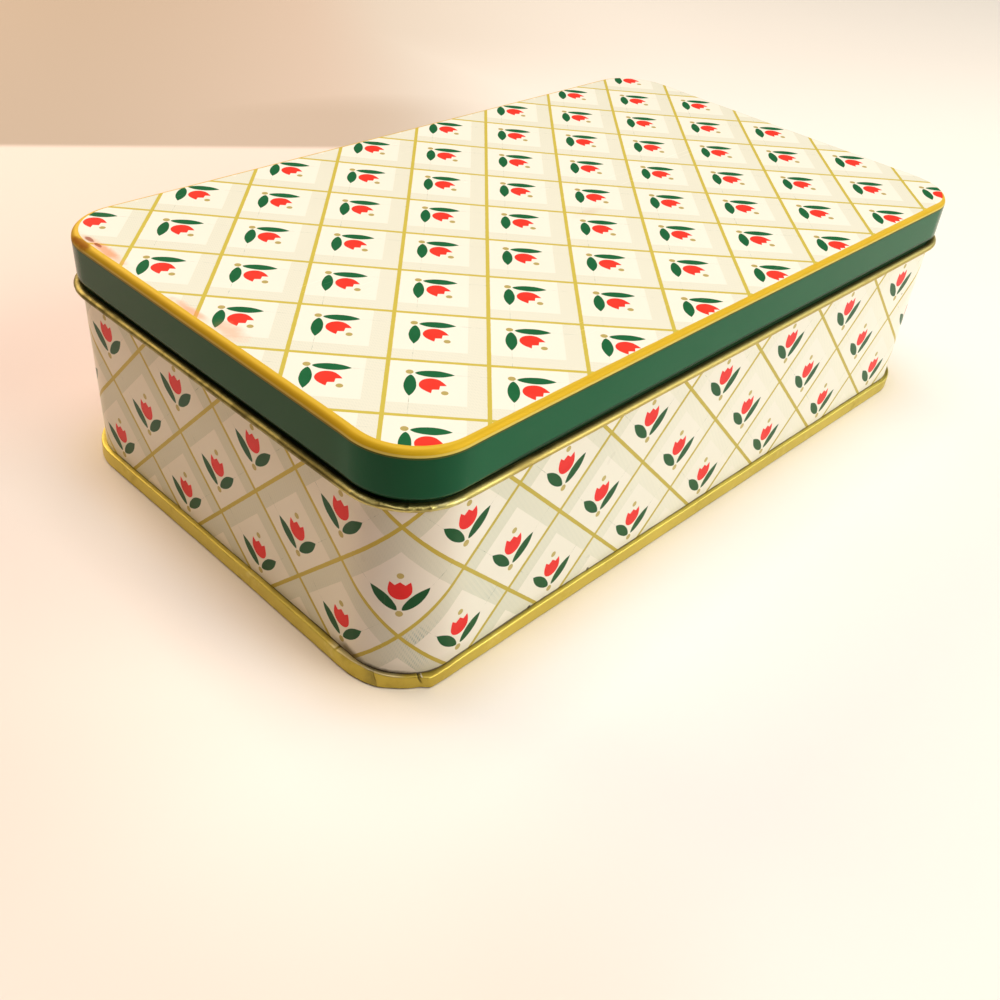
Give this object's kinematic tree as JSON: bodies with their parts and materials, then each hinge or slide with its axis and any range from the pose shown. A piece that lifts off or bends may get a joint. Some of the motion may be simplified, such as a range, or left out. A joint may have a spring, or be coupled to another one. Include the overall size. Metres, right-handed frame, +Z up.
{
  "type": "card game tin",
  "caption": "Rectangular tinplate box with rounded corners, a curled bead, a double-seamed base and a flat lid hinged on wire pins at the back.",
  "frame": {"origin": "middle of the outline in plan, on the surface that the base seam rests on", "axes": "+Z up, +X along the long side, the front is -Y and the hinges are on +Y"},
  "size_m": [0.1808, 0.1066, 0.0516],
  "materials": {
    "printed_body": "glossy printed tinplate, cream with a small repeat pattern, gold bead",
    "printed_lid": "glossy printed tinplate, green skirt, gold edge, patterned cream top",
    "gold_lacquer": "gold-lacquered tinplate, lightly worn",
    "neck_lacquer": "gold-lacquered tinplate",
    "hinge_plate": "gold-lacquered strip",
    "hinge_wire": "drawn tinned wire"
  },
  "bodies": {
    "tin_body": {"body_wall": "printed_body", "bottom_panel": "gold_lacquer", "inner_collar": "neck_lacquer", "hinge_body_leaf_left": "hinge_plate", "hinge_body_leaf_right": "hinge_plate", "hinge_pin_left": "hinge_wire", "hinge_pin_right": "hinge_wire"},
    "lid": {"lid_shell": "printed_lid", "hinge_lid_leaf_left": "hinge_plate", "hinge_lid_leaf_right": "hinge_plate"}
  },
  "joints": [
    {"name": "lid_hinge", "type": "hinge", "parent": "tin_body", "child": "lid", "pos_m": [0, 0.05186, 0.0425], "axis": [-1, 0, 0], "range_deg": [0, 102]}
  ]
}
